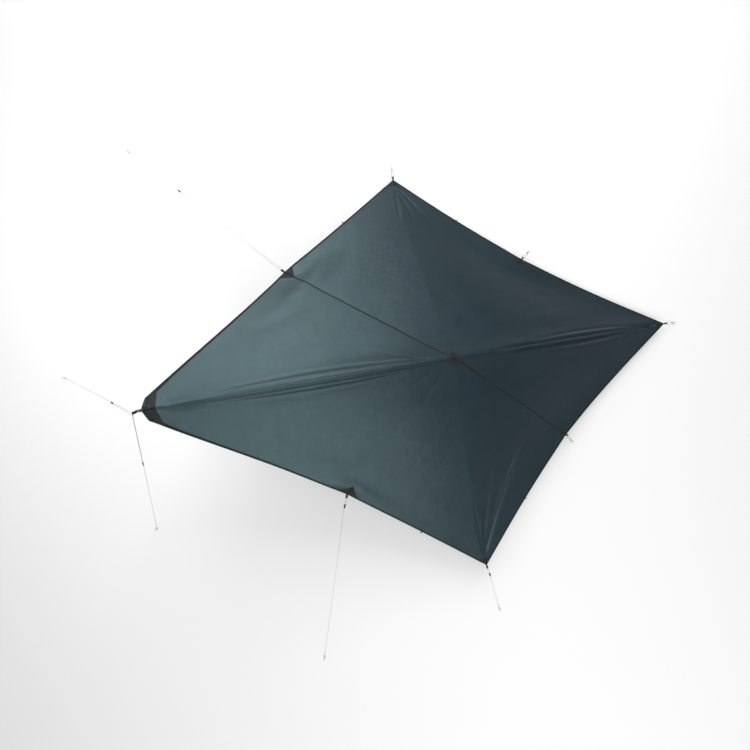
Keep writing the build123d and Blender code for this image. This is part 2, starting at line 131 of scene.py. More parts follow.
GUYLINES = {
    "front_left": ("front_left", (-0.606, 2.580), 1.390, 0.0),
    "front_right": ("front_right", (0.480, -2.719), 0.060, 0.0),
    "front_a": ("front", (-1.615, 0.463), 0.420, 0.0022),
    "front_b": ("front", (-0.957, -1.174), 0.640, -0.0022),
    "right": ("right", (2.282, -2.526), 0.070, 0.0),
}
DIRECT_PEGS = {
    "left": (1.955, 1.969),
    "rear_left": (3.150, 0.925),
    "rear": (4.466, -0.008),
    "rear_right": (3.266, -0.994),
}

# ---------------------------------------------------------------- camera
RIDGE_TURN = math.radians(-9.6)  # the ridge's turn in the picture
camera_data = bpy.data.cameras.new("camera")
camera_data.lens = 18
camera_data.sensor_width = 36
camera = bpy.data.objects.new("camera", camera_data)
camera.location = (1.4445, -0.0247, 3.76)
camera.rotation_euler = (0, 0, RIDGE_TURN)
bpy.context.scene.collection.objects.link(camera)
bpy.context.scene.camera = camera


# ---------------------------------------------------------------- small helpers
def link(name, data):
    piece = bpy.data.objects.new(name, data)
    bpy.context.scene.collection.objects.link(piece)
    return piece


def mesh_piece(name, points, faces, uvs=None, smooth=True):
    """A mesh object; uvs holds one pair per vertex."""
    mesh = bpy.data.meshes.new(name)
    mesh.from_pydata([tuple(p) for p in points], [], faces)
    mesh.polygons.foreach_set("use_smooth", [smooth] * len(mesh.polygons))
    if uvs is not None:
        layer = mesh.uv_layers.new(name="cloth")
        corner_vertices = np.zeros(len(mesh.loops), int)
        mesh.loops.foreach_get("vertex_index", corner_vertices)
        layer.data.foreach_set("uv", np.asarray(uvs, float)[corner_vertices].ravel())
    mesh.validate()
    return link(name, mesh)


def grid_faces(rows, columns, offset=0, close_rows=False, close_columns=False, flip=False):
    faces = []
    for i in range(rows if close_rows else rows - 1):
        for j in range(columns if close_columns else columns - 1):
            a = offset + i * columns + j
            b = offset + (i + 1) % rows * columns + j
            c = offset + (i + 1) % rows * columns + (j + 1) % columns
            d = offset + i * columns + (j + 1) % columns
            faces.append((d, c, b, a) if flip else (a, b, c, d))
    return faces


def smooth_path(points, steps):
    """Catmull-Rom points through the given ones."""
    p = np.asarray(points, float)
    p = np.vstack([2 * p[0] - p[1], p, 2 * p[-1] - p[-2]])
    out = []
    for k in range(1, len(p) - 2):
        for step in range(steps):
            t = step / steps
            a, b, c, d = p[k - 1], p[k], p[k + 1], p[k + 2]
            square, cube = 2 * a - 5 * b + 4 * c - d, 3 * b - a - 3 * c + d
            out.append(0.5 * (2 * b + (c - a) * t + square * t**2 + cube * t**3))
    out.append(p[-2])
    return np.array(out)


def run_lengths(points):
    """How far along a row of points each one lies."""
    return np.concatenate([[0], np.cumsum(np.linalg.norm(np.diff(points, axis=0), axis=1))])


def directions(path):
    """The unit direction of a path at each of its points."""
    step = np.gradient(path, axis=0)
    return step / np.linalg.norm(step, axis=1, keepdims=True)


def tube_mesh(name, path, radius, closed=False, sides=10):
    """A round tube along a path of points, as a mesh; u runs along it in metres and v round it."""
    path = [Vector(p) for p in path]
    count = len(path)
    side = None
    points, uvs = [], []
    travelled = 0.0
    for k in range(count):
        ahead = path[(k + 1) % count] if closed or k < count - 1 else path[k]
        behind = path[k - 1] if closed or k > 0 else path[k]
        along = (ahead - behind).normalized()
        if side is None:
            side = along.orthogonal().normalized()
        side = (side - along * side.dot(along)).normalized()
        up = along.cross(side)
        if k:
            travelled += (path[k] - path[k - 1]).length
        for s in range(sides):
            turn = 2 * math.pi * s / sides
            points.append(path[k] + side * (radius * math.cos(turn)) + up * (radius * math.sin(turn)))
            uvs.append((travelled, s / sides))
    faces = grid_faces(count, sides, close_rows=closed, close_columns=True)
    if not closed:
        faces.append(tuple(range(sides)))
        faces.append(tuple(reversed(range((count - 1) * sides, count * sides))))
    return mesh_piece(name, points, faces, uvs)


def trefoil(name, place, along, size, radius):
    """A small overhand knot: a trefoil of cord, drawn tight."""
    along = along.normalized()
    side = along.orthogonal().normalized()
    up = along.cross(side)
    path = []
    for k in range(72):
        t = 2 * math.pi * k / 72
        x = math.sin(t) + 2 * math.sin(2 * t)
        y = math.cos(t) - 2 * math.cos(2 * t)
        z = -math.sin(3 * t)
        path.append(place + (side * x * 0.30 + up * y * 0.30 + along * z * 0.62) * size)
    return tube_mesh(name, path, radius, closed=True, sides=8)


# ---------------------------------------------------------------- the pitch's own frames
def peg_tie(ground):
    """Where a cord pulls on a peg, and the peg's axis."""
    outward = Vector((ground[0] - CENTRE.x, ground[1] - CENTRE.y, 0)).normalized()
    axis = outward * math.sin(PEG_LEAN) + Vector((0, 0, math.cos(PEG_LEAN)))
    return Vector((*ground, 0)) + axis * (TIE_HEIGHT / math.cos(PEG_LEAN)), axis


def facet_normal(name, after):
    names = list(STATIONS)
    k = names.index(name)
    a = Vector(STATIONS[name][0]) - CENTRE
    b = Vector(STATIONS[names[(k + after) % 8]][0]) - CENTRE
    normal = a.cross(b).normalized()
    return normal if normal.z > 0 else -normal


class LoopFrame:
    """Where a tie-out loop stands: its start, pull direction, width direction and normal."""

    def __init__(self, name, pull, start=None):
        self.normal_here = (facet_normal(name, 1) + facet_normal(name, -1)).normalized()
        self.start = start or Vector(STATIONS[name][0]) + self.normal_here * LOOP_LIFT
        self.pull = pull.normalized()
        normal = self.normal_here
        self.normal = (normal - self.pull * normal.dot(self.pull)).normalized()
        self.width = self.normal.cross(self.pull)

    def at(self, along, across, up):
        return self.start + self.pull * along + self.width * across + self.normal * up


LOOPS = {"front": LoopFrame("front", Vector((-1, -0.22, -0.30)), Vector((-0.006, -0.0015, PIVOT_HEIGHT)))}
for station, ground in [line[:2] for line in GUYLINES.values()] + list(DIRECT_PEGS.items()):
    if station != "front":
        LOOPS[station] = LoopFrame(station, peg_tie(ground)[0] - Vector(STATIONS[station][0]))


# ---------------------------------------------------------------- cords
def nurbs_path(points):
    """The points along one smooth NURBS line through the route's control points."""
    curve = bpy.data.curves.new("route", "CURVE")
    curve.dimensions = "3D"
    curve.resolution_u = 24
    spline = curve.splines.new("NURBS")
    spline.points.add(len(points) - 1)
    for slot, point in zip(spline.points, points):
        slot.co = (*point, 1)
    spline.order_u = 3
    spline.use_endpoint_u = True
    line = link("route", curve)
    mesh = bpy.data.meshes.new_from_object(line)
    path = [vertex.co.copy() for vertex in mesh.vertices]
    bpy.data.objects.remove(line)
    bpy.data.meshes.remove(mesh)
    return path


cord_pieces = []
for name, (station, ground, reach, height) in GUYLINES.items():
    loop = LOOPS[station]
    tie, axis = peg_tie(ground)
    side = 1 if (tie - loop.start).dot(loop.width) >= 0 else -1
    bight = LOOP_FRONT - WEB_THICK - CORD_RADIUS - BIGHT_GAP
    if height:
        bight = LOOP_FRONT - LOOP_HALF + FRONT_BIGHT
    beside = loop.at(LOOP_FRONT + BESIDE, side * CORD_SIDE, height)
    turn_in = loop.at(bight, side * CORD_SIDE, height)
    turn_out = loop.at(bight, -side * CORD_SIDE, height)
    back = loop.at(LOOP_FRONT + BACK, -side * CORD_SIDE, height)
    line = (tie - beside).normalized()
    lower_end = tie - line * (PEG_STANDOFF / line.cross(axis).length)
    straight_start = beside + line * STRAIGHT_START
    route = [back, turn_out, turn_in, beside, straight_start, lower_end]
    path = nurbs_path(route)
    cord = tube_mesh("line_" + name, path, CORD_RADIUS)
    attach(cord, "canopy")
    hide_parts("guyline_" + name)

    # Where the line is tied round the peg: a loop on the shank and a small knot.
    ring = []
    across = axis.cross(line).normalized()
    forward = across.cross(axis).normalized()
    for k in range(28):
        turn = 2 * math.pi * k / 28
        out = PEG_RADIUS + CORD_RADIUS + 0.0003 + 0.0022 * max(0.0, -math.cos(turn)) ** 3
        ring.append(tie + forward * (out * math.cos(turn)) + across * (out * math.sin(turn)))
    loop_piece = tube_mesh("line_loop_" + name, ring, CORD_RADIUS, closed=True)
    knot = trefoil("line_knot_" + name, lower_end - line * KNOT_BACK, line, KNOT_SIZE, CORD_RADIUS)
    for piece in (loop_piece, knot):
        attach(piece, "canopy")

    # The strand that comes back to the tensioner shortens as the tensioner slides up.
    towards = ((back - beside) - line * (back - beside).dot(line)).normalized()
    middle = beside + line * (reach + SLIDER_LENGTH / 2) + towards * SLIDER_OFFSET
    strand_end = middle - line * (SLIDER_LENGTH / 2 + CORD_CLEARANCE) + towards * SLIDER_OFFSET
    strand_start = back + (strand_end - back).normalized() * (CORD_CLEARANCE + CORD_RADIUS)
    path = [strand_start.lerp(strand_end, k / STRAND_STEPS) for k in range(STRAND_STEPS + 1)]
    strand = tube_mesh("line_return_" + name, path, CORD_RADIUS)
    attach(strand, "canopy")
    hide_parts("guyline_return_" + name)
    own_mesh(strand)
    stopper = trefoil(
        "tensioner_knot_" + name, middle + line * (SLIDER_LENGTH / 2 + 0.003) + towards * SLIDER_OFFSET, line,
        SMALL_KNOT, CORD_RADIUS,
    )
    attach(stopper, "tensioner_" + name)
    cord_pieces += [cord, loop_piece, knot, strand, stopper]

# The short cord loops between the direct pegs and their webbing.
peg_loop_pieces = []
for station, ground in DIRECT_PEGS.items():
    loop = LOOPS[station]
    tie, axis = peg_tie(ground)
    near = loop.at(LOOP_FRONT - WEB_THICK - CORD_RADIUS - BIGHT_GAP, 0, 0)
    pull = (tie - near).normalized()
    far = tie + pull * (PEG_STANDOFF / abs(pull.dot(axis.cross(loop.width).normalized())))
    across = loop.width * PEG_LOOP_HALF
    path = []
    for k in range(16):  # round the webbing's end, inside its hole
        turn = math.pi * k / 15
        path.append(near + across * math.cos(turn) + pull * (0.004 * (1 - math.sin(turn))))
    for k in range(16):  # narrowing to the peg and round its shank
        turn = math.pi * k / 15
        path.append(far - across * PEG_LOOP_NARROW * math.cos(turn) - pull * (0.006 * (1 - math.sin(turn))))
    piece = tube_mesh("peg_cord_" + station, path, CORD_RADIUS, closed=True)
    knot = trefoil("peg_cord_knot_" + station, near + across + pull * 0.016, pull, SMALL_KNOT, CORD_RADIUS)
    for part in (piece, knot):
        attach(part, "canopy")
        peg_loop_pieces.append(part)
    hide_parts("peg_loop_" + station)


# ---------------------------------------------------------------- the cloth
def pitched(s, t):
    """The cloth's first shape: flat facets between the stations and the centre."""
    shape = np.zeros(s.shape + (3,))
    done = np.zeros(s.shape, bool)
    names = list(STATIONS)
    for k, name in enumerate(names):
        (here, flat_here), (there, flat_there) = STATIONS[name], STATIONS[names[(k + 1) % 8]]
        basis = np.array([np.subtract(flat_here, 0.5), np.subtract(flat_there, 0.5)]).T
        shares = np.stack([s - 0.5, t - 0.5], -1) @ np.linalg.inv(basis).T
        inside = (shares.min(-1) >= -1e-9) & ~done
        value = (
            np.array(CENTRE)
            + shares[..., 0:1] * (np.array(here) - np.array(CENTRE))
            + shares[..., 1:2] * (np.array(there) - np.array(CENTRE))
        )
        shape[inside] = value[inside]
        done |= inside
    return shape


def blunt(s, t):
    """How far the high corner's sides stand out beyond a square corner, across the ridge."""
    along, across = (s + t) / math.sqrt(2) * SIDE, (s - t) / math.sqrt(2) * SIDE
    share = across / np.maximum(along, 1e-9)
    return share * NOSE_HALF * np.exp(-((along / NOSE_LENGTH) ** 2))


def spread_corner(shape, s, t):
    """The high corner is blunt and cupped over the pole."""
    out = blunt(s, t)
    shape = shape.copy()
    shape[..., 1] += out
    shape[..., 2] -= NOSE_CUP * np.abs(out)
    return shape


def flat_cut(s, t):
    """The cut: a square with edges that curve in between the stations."""
    def dip(u):
        h = (u * 2) % 1.0
        return EDGE_SAG * 4 * h * (1 - h)

    x = s * SIDE + dip(t) * (1 - s) - dip(t) * s
    y = t * SIDE + dip(s) * (1 - t) - dip(s) * t
    out = blunt(s, t) / math.sqrt(2)
    return np.stack([x + out, y - out, np.zeros_like(x)], -1)


def drape(rest, flat):
    """The cloth pulled tight between its tie-outs: a simulation from the flat facets."""
    rng = np.random.default_rng(3)
    start = rest.copy()
    start[1:-1, 1:-1, 2] += rng.normal(0, 0.0012, (GRID - 2, GRID - 2))
    index = np.arange(GRID * GRID).reshape(GRID, GRID)
    mesh = bpy.data.meshes.new("drape")
    mesh.from_pydata(start.reshape(-1, 3).tolist(), [], grid_faces(GRID, GRID, flip=True))
    cloth = link("drape", mesh)
    cloth.shape_key_add(name="Basis")
    key = cloth.shape_key_add(name="flat")
    key.data.foreach_set("co", flat.reshape(-1))
    key.value = 0
    pins = cloth.vertex_groups.new(name="pins")
    for station, (_, (s, t)) in STATIONS.items():
        radius = CORNER_PIN if station == "front" else PIN_RADIUS
        spot = flat[round(s * (GRID - 1)), round(t * (GRID - 1))]
        near = index[np.linalg.norm(flat - spot, axis=-1) < radius]
        pins.add([int(v) for v in near], 1.0, "REPLACE")
    modifier = cloth.modifiers.new("drape", "CLOTH")
    settings = modifier.settings
    settings.quality = 7
    settings.mass = 0.06
    settings.tension_stiffness = 60
    settings.compression_stiffness = 60
    settings.shear_stiffness = 12
    settings.bending_stiffness = 0.02
    settings.air_damping = 1.5
    settings.vertex_group_mass = "pins"
    settings.rest_shape_key = key
    settings.effector_weights.gravity = 0.04
    modifier.collision_settings.use_collision = False
    modifier.point_cache.frame_end = DRAPE_FRAMES
    for step in range(1, DRAPE_FRAMES + 1):
        bpy.context.scene.frame_set(step)
    evaluated = cloth.evaluated_get(bpy.context.evaluated_depsgraph_get())
    shape = np.zeros(GRID * GRID * 3)
    evaluated.data.vertices.foreach_get("co", shape)
    bpy.data.objects.remove(cloth)
    bpy.context.scene.frame_set(1)
    return shape.reshape(GRID, GRID, 3)


def refine(p):
    """The grid at twice as many points each way, on smooth curves through the old ones."""
    for axis in (0, 1):
        q = np.moveaxis(p, axis, 0)
        first, last = 2 * q[:1] - q[1:2], 2 * q[-1:] - q[-2:-1]
        r = np.concatenate([first, q, last])
        between = (-r[:-3] + 9 * r[1:-2] + 9 * r[2:-1] - r[3:]) / 16
        out = np.empty((2 * len(q) - 1,) + q.shape[1:])
        out[0::2] = q
        out[1::2] = between
        p = np.moveaxis(out, 0, axis)
    return p


class Sheet:
    """The draped cloth as a surface over its flat square, s and t from 0 to 1."""

    def __init__(self, points):
        self.points = points
        self.size = len(points)
        ds = np.gradient(points, axis=0)
        dt = np.gradient(points, axis=1)
        normals = np.cross(dt, ds)
        normals /= np.linalg.norm(normals, axis=-1, keepdims=True)
        self.normals = normals if normals[..., 2].mean() > 0 else -normals

    def _read(self, values, s, t):
        x = np.clip(np.asarray(s, float), 0, 1) * (self.size - 1)
        y = np.clip(np.asarray(t, float), 0, 1) * (self.size - 1)
        i = np.minimum(x.astype(int), self.size - 2)
        j = np.minimum(y.astype(int), self.size - 2)
        u, v = (x - i)[..., None], (y - j)[..., None]
        return (
            values[i, j] * (1 - u) * (1 - v) + values[i + 1, j] * u * (1 - v)
            + values[i, j + 1] * (1 - u) * v + values[i + 1, j + 1] * u * v
        )

    def at(self, s, t, height=0.0):
        point = self._read(self.points, s, t)
        normal = self._read(self.normals, s, t)
        normal /= np.linalg.norm(normal, axis=-1, keepdims=True)
        return point + normal * (height if np.isscalar(height) else np.asarray(height)[..., None])


def smooth_out(p, s, t):
    """Evens out the cloth, except at its blunt corner, and keeps a share of its small wrinkles."""
    soft = p.copy()
    for _ in range(SMOOTH_PASSES):
        soft[1:-1, 1:-1] = (
            4 * soft[1:-1, 1:-1] + soft[:-2, 1:-1] + soft[2:, 1:-1] + soft[1:-1, :-2] + soft[1:-1, 2:]
        ) / 8
        for rim in (soft[0], soft[-1], soft[:, 0], soft[:, -1]):
            rim[1:-1] = (2 * rim[1:-1] + rim[:-2] + rim[2:]) / 4
    along = np.clip((s + t) / math.sqrt(2) * SIDE / NOSE_KEPT, 0, 1)[..., None]
    return p + (soft - p) * (1 - WRINKLES_KEPT) * along**2


def settle_centre(p, s, t):
    """Moves the middle of the cloth to its place, less and less towards the hem."""
    middle = p[len(p) // 2, len(p) // 2]
    share = (1 - (2 * s - 1) ** 2) * (1 - (2 * t - 1) ** 2)
    return p + share[..., None] * (np.array(CENTRE) - middle)


def creases(s, t):
    """Folds that run between two places of the cloth and bow to one side between them."""
    rise = np.zeros_like(s)
    for (s0, t0), (s1, t1), bow, width, depth in CREASES:
        length = math.hypot(s1 - s0, t1 - t0) * SIDE
        du, dv = (s1 - s0) * SIDE / length, (t1 - t0) * SIDE / length
        along = ((s - s0) * du + (t - t0) * dv) * SIDE
        across = ((s - s0) * dv - (t - t0) * du) * SIDE
        share = np.clip(along / length, 0, 1)
        fade = np.clip(along / 0.10, 0, 1) * np.clip((length - along) / (0.25 * length), 0, 1)
        fade = fade * fade * (3 - 2 * fade)
        rise += depth * fade * np.exp(-(((across - bow * np.sin(share * math.pi)) / width) ** 2))
    return rise


# Each crease: where it starts and ends on the flat square, its bow, its width and its height.
CREASES = (
    ((0.016, 0.012), (0.487, 0.478), 0.085, 0.013, -0.004),
    ((0.015, 0.013), (0.485, 0.480), 0.030, 0.010, -0.006),
    ((0.015, 0.014), (0.484, 0.484), 0.010, 0.009, 0.005),
    ((0.014, 0.014), (0.482, 0.486), -0.012, 0.010, -0.008),
    ((0.012, 0.016), (0.440, 0.462), -0.050, 0.013, -0.003),
    ((0.985, 0.985), (0.560, 0.556), -0.026, 0.020, -0.020),
    ((0.985, 0.985), (0.530, 0.530), 0.002, 0.014, 0.010),
    ((0.985, 0.985), (0.560, 0.568), 0.026, 0.020, -0.022),
    ((0.985, 0.983), (0.640, 0.620), -0.070, 0.020, -0.006),
    ((0.983, 0.985), (0.620, 0.640), 0.072, 0.020, -0.006),
    ((0.975, 0.020), (0.900, 0.150), 0.008, 0.010, -0.0020),
    ((0.978, 0.022), (0.870, 0.115), -0.006, 0.010, -0.0018),
    ((0.980, 0.020), (0.935, 0.185), 0.006, 0.011, -0.0020),
    ((0.020, 0.975), (0.420, 0.870), 0.020, 0.022, -0.0060),
    ((0.022, 0.972), (0.330, 0.800), 0.010, 0.018, -0.0030),
    ((0.024, 0.970), (0.160, 0.840), -0.006, 0.012, -0.0018),
    ((0.470, 0.462), (0.410, 0.330), 0.010, 0.009, -0.0015),
    ((0.462, 0.470), (0.360, 0.385), -0.010, 0.009, -0.0016),
    ((0.460, 0.485), (0.340, 0.452), -0.012, 0.009, -0.0015),
    ((0.458, 0.500), (0.330, 0.510), 0.010, 0.009, -0.0014),
)

share = np.linspace(0, 1, GRID)
grid_s, grid_t = np.meshgrid(share, share, indexing="ij")
flat_grid = flat_cut(grid_s, grid_t)
draped = spread_corner(pitched(grid_s, grid_t), grid_s, grid_t)
draped = smooth_out(drape(draped, flat_grid), grid_s, grid_t)
draped = refine(settle_centre(draped, grid_s, grid_t))
fine = np.linspace(0, 1, len(draped))
fine_s, fine_t = np.meshgrid(fine, fine, indexing="ij")
sheet = Sheet(draped + Sheet(draped).normals * creases(fine_s, fine_t)[..., None])

panel_pieces = []
half = sheet.size // 2
for name, columns in (("front", slice(0, half + 1)), ("rear", slice(half, sheet.size))):
    points = sheet.points[columns].reshape(-1, 3)
    uvs = np.stack([fine_s[columns], fine_t[columns]], -1).reshape(-1, 2)
    panel = mesh_piece("canopy_" + name, points, grid_faces(half + 1, sheet.size), uvs)
    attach(panel, "canopy")
    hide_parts("canopy_panel_" + name)
    panel_pieces.append(panel)


# ---------------------------------------------------------------- layers sewn on the cloth
def layer(name, s, t, height, uvs):
    """A thin layer over a grid of cloth places, above and below, its rims turned down to the cloth."""
    points, faces, coordinates = [], [], []
    rows, columns = s.shape
    for sign in (1, -1):
        heights = np.full(s.shape, height * sign)
        heights[0], heights[-1], heights[:, 0], heights[:, -1] = (RIM_RISE * sign,) * 4
        offset = len(points)
        points += list(sheet.at(s, t, heights).reshape(-1, 3))
        faces += grid_faces(rows, columns, offset, flip=sign < 0)
        coordinates += list(uvs.reshape(-1, 2))
    return mesh_piece(name, points, faces, coordinates)


def with_rim(low, high, count):
    """Even steps from low to high with a close pair at each end, for a turned-down rim."""
    lip = RIM_WIDTH / SIDE
    return np.concatenate([[low], np.linspace(low + lip, high - lip, count), [high]])


def flat_axes(station):
    """At a station on the flat cloth: its place, and two directions into the cloth."""
    s, t = STATIONS[station][1]
    if station in CORNERS:
        return np.array([s, t]), np.array([1 - 2 * s, 0]), np.array([0, 1 - 2 * t])
    if s == 0.5:
        return np.array([s, t]), np.array([1, 0]), np.array([0, 1 - 2 * t])
    return np.array([s, t]), np.array([0, 1]), np.array([1 - 2 * s, 0])


patch_pieces = []
for station in STATIONS:
    corner = station in CORNERS
    place, first, second = flat_axes(station)
    reach_a, reach_b = (PATCH_LEG, PATCH_LEG) if corner else (SIDE_PATCH_HALF, SIDE_PATCH_DEPTH)
    turn = np.linspace(0, math.pi / 2 if corner else math.pi, 41)
    reach = 1 / (np.abs(np.cos(turn)) / reach_a + np.sin(turn) / reach_b)
    if corner:
        reach = reach * (1 - 0.10 * np.sin(2 * turn))
    radial = np.concatenate([[0.0005], np.linspace(0.02, 0.992, 24), [1.0]])
    distance = radial[:, None] * reach[None, :] / SIDE
    s = place[0] + distance * (np.cos(turn) * first[0] + np.sin(turn) * second[0])
    t = place[1] + distance * (np.cos(turn) * first[1] + np.sin(turn) * second[1])
    uvs = np.stack([distance * SIDE * np.cos(turn) * 5 + 0.5, distance * SIDE * np.sin(turn) * 5], -1)
    kind = "corner_patch_" if corner else "side_patch_"
    piece = layer(kind.replace("_patch_", "_reinforcement_") + station, s, t, PATCH_RISE, uvs)
    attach(piece, "canopy")
    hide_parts(kind + station)
    patch_pieces.append(piece)

half_patch = CENTRE_PATCH_HALF / SIDE
steps = with_rim(-half_patch, half_patch, 26)
s, t = np.meshgrid(0.5 + steps, 0.5 + steps, indexing="ij")
uvs = np.stack([(s - 0.5) * SIDE * 5 + 0.5, (t - 0.5) * SIDE * 5 + 0.5], -1)
centre_piece = layer("centre_reinforcement", s, t, PATCH_RISE, uvs)
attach(centre_piece, "canopy")
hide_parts("centre_patch")
patch_pieces.append(centre_piece)

# The centre seam: a felled strip on each side of the centre patch.
seam_pieces = []
for name, low, high in (
    ("left", (SIDE_PATCH_DEPTH - 0.01) / SIDE, 0.5 - half_patch + 0.002),
    ("right", 0.5 + half_patch - 0.002, 1 - (SIDE_PATCH_DEPTH - 0.01) / SIDE),
):
    across = with_rim(-SEAM_WIDTH / 2 / SIDE, SEAM_WIDTH / 2 / SIDE, 5)
    lengthways = with_rim(low, high, 150)
    s, t = np.meshgrid(0.5 + across, lengthways, indexing="ij")
    uvs = np.stack([t * SIDE, (s - 0.5) * SIDE / SEAM_WIDTH + 0.5], -1)
    piece = layer("centre_seam_" + name, s, t, SEAM_RISE, uvs)
    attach(piece, "canopy")
    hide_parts("centre_seam")
    seam_pieces.append(piece)


# The hem: a folded band round the edge, rounded over it.
HEM_PROFILE = (
    (HEM_WIDTH, 0.0001), (HEM_WIDTH - 0.0004, 0.0009), (HEM_WIDTH * 0.8, 0.0010), (HEM_WIDTH * 0.5, 0.0011),
    (HEM_WIDTH * 0.2, 0.0011), (0.001, 0.0012), (-0.0008, 0.0009), (-0.0013, 0.0), (-0.0008, -0.0009),
    (0.001, -0.0012), (HEM_WIDTH * 0.5, -0.0011), (HEM_WIDTH - 0.0004, -0.0009), (HEM_WIDTH, -0.0001),
)


def hem_band(name, runs):
    """Bands along stretches of the edge; each run is (start place, end place) on the flat square."""
    points, faces, coordinates = [], [], []
    for start, end in runs:
        start, end = np.array(start, float), np.array(end, float)
        count = 120
        along = np.linspace(0, 1, count)[:, None]
        edge = start + (end - start) * along
        inward = np.array([0.5, 0.5]) - (start + end) / 2
        inward = inward * (np.abs(start - end) < 1e-9)
        inward /= np.abs(inward).max()
        offset = len(points)
        for row in range(count):
            for depth, height in HEM_PROFILE:
                s, t = edge[row] + inward * max(depth, 0) / SIDE
                limit = max(depth, 0) / SIDE
                s, t = np.clip(s, limit, 1 - limit), np.clip(t, limit, 1 - limit)
                point = sheet.at(s, t, height)
                if depth < 0:
                    inner = sheet.at(*(edge[row] + inward * 0.004 / SIDE))
                    out = sheet.at(*edge[row]) - inner
                    point = point + out / np.linalg.norm(out) * -depth
                points.append(point)
                coordinates.append(
                    (float(np.linalg.norm(edge[row] - start)) * SIDE, (depth + 0.002) / (HEM_WIDTH + 0.002))
                )
        faces += grid_faces(count, len(HEM_PROFILE), offset)
    piece = mesh_piece(name, points, faces, coordinates)
    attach(piece, "canopy")
    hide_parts(name.replace("edge_band", "hem"))
    return piece


hem_pieces = [
    hem_band("edge_band_rear", [((0.5, 0), (1, 0)), ((1, 0), (1, 1)), ((1, 1), (0.5, 1))]),
    hem_band("edge_band_front", [((0.5, 1), (0, 1)), ((0, 1), (0, 0)), ((0, 0), (0.5, 0))]),
]


# ---------------------------------------------------------------- webbing
def ribbon(name, top, bottom, uvs_along):
    """A strap from its upper and lower rows of points, with closed sides and ends."""
    top, bottom = np.asarray(top), np.asarray(bottom)
    rows, columns = top.shape[:2]
    loop = np.concatenate([top, bottom[:, ::-1]], axis=1)
    faces = grid_faces(rows, 2 * columns, close_columns=True)
    faces.append(tuple(range(2 * columns)))
    faces.append(tuple(reversed(range((rows - 1) * 2 * columns, rows * 2 * columns))))
    across = np.concatenate([np.linspace(0, 1, columns), np.linspace(1, 0, columns)])
    uvs = np.stack(np.broadcast_arrays(np.asarray(uvs_along)[:, None], across[None, :]), -1)
    piece = mesh_piece(name, loop.reshape(-1, 3), faces, uvs.reshape(-1, 2))
    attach(piece, "canopy")
    return piece


def bent_strap(name, path, origin, along, up, sideways, width, thick):
    """A strap through places (along, up) from an origin."""
    side_points = sideways * (SPREAD[:, None] * width / 2)
    lift = thick / 2 * CROWN[:, None]
    top, bottom = [], []
    for (x, z), (dx, dz) in zip(path, directions(path)):
        top.append(origin + along * (x - dz * lift) + up * (z + dx * lift) + side_points)
        bottom.append(origin + along * (x + dz * lift) + up * (z - dx * lift) + side_points)
    return ribbon(name, top, bottom, run_lengths(path))


SPREAD = np.array([-1.0, -0.93, -0.5, 0.0, 0.5, 0.93, 1.0])
CROWN = np.array([0.45, 0.85, 1.0, 1.0, 1.0, 0.85, 0.45])  # the strap's rounded edges
LOOP_PATH = (
    (0.0, 0.0004), (0.006, 0.0008), (0.012, 0.0030), (0.020, 0.0052), (0.029, 0.0057), (0.036, 0.0046),
    (0.0398, 0.0022), (0.04075, 0.0), (0.0398, -0.0022), (0.036, -0.0046), (0.029, -0.0057), (0.020, -0.0052),
    (0.012, -0.0030), (0.006, -0.0026), (0.0, -0.0030),
)
webbing_pieces = []
for station, loop in LOOPS.items():
    place, first, second = flat_axes(station)
    corner = station in CORNERS
    inward = (first + second) / math.sqrt(2) if corner else second
    sideways = np.array([inward[1], -inward[0]])
    near = place + inward * 0.02
    if np.dot(sheet.at(*(near + sideways * 0.01)) - sheet.at(*near), np.array(loop.width)) < 0:
        sideways = -sideways
    top, bottom = [], []
    for distance in np.linspace(TAIL, 0.004, 12):
        half_width = WEB_WIDTH / 2 / SIDE
        if station == "front":  # the blunt corner spreads the flat cloth, and not the strap
            half_width /= 1 + NOSE_HALF * math.exp(-((distance / NOSE_LENGTH) ** 2)) / distance
        spots = place + inward * distance / SIDE + sideways * SPREAD[:, None] * half_width
        spots = np.clip(spots, 0, 1)
        top.append(sheet.at(spots[:, 0], spots[:, 1], TAIL_RISE[1] + WEB_THICK * CROWN))
        bottom.append(sheet.at(spots[:, 0], spots[:, 1], TAIL_RISE[0]))
    path = smooth_path(LOOP_PATH, 5)
    begin = 0.008 if station == "front" else 0.004
    for (x, z), (dx, dz) in zip(path, directions(path)):
        if x < begin and z > 0:
            continue
        low, high = [], []
        for across, crown in zip(SPREAD, CROWN):
            lift = WEB_THICK / 2 * crown
            y = across * WEB_WIDTH / 2
            high.append(loop.at(x - dz * lift, y, z + dx * lift))
            low.append(loop.at(x + dz * lift, y, z - dx * lift))
        top.append(np.array(high))
        bottom.append(np.array(low))
    piece = ribbon("tie_out_" + station, top, bottom, run_lengths([row[3] for row in top]))
    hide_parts("webbing_loop_" + station)
    webbing_pieces.append(piece)

# The plate of webbing at the high corner that the pole's tip passes through, and its eyelet.
turns = np.linspace(0, 2 * math.pi, 49)[:-1]
outer = 1 / np.maximum(np.abs(np.cos(turns)) / PLATE_HALF[0], np.abs(np.sin(turns)) / PLATE_HALF[1])
outer = np.minimum(outer, PLATE_CORNER)
PLATE_PROFILE = (
    (0, 0.0015), (0.5, 0.0015), (0.97, 0.0015), (1, 0.0009),
    (1, -0.0009), (0.97, -0.0015), (0.5, -0.0015), (0, -0.0015),
)
points, uvs = [], []
for outward, height in PLATE_PROFILE:
    for turn, far in zip(turns, outer):
        r = (EYELET_RADIUS + 0.0001) * (1 - outward) + far * outward
        x, y = r * math.cos(turn), r * math.sin(turn)
        points.append((x + PLATE_SHIFT[0] * outward, y + PLATE_SHIFT[1] * outward, PIVOT_HEIGHT + height))
        uvs.append((x, y / (2 * PLATE_HALF[1]) + 0.5))
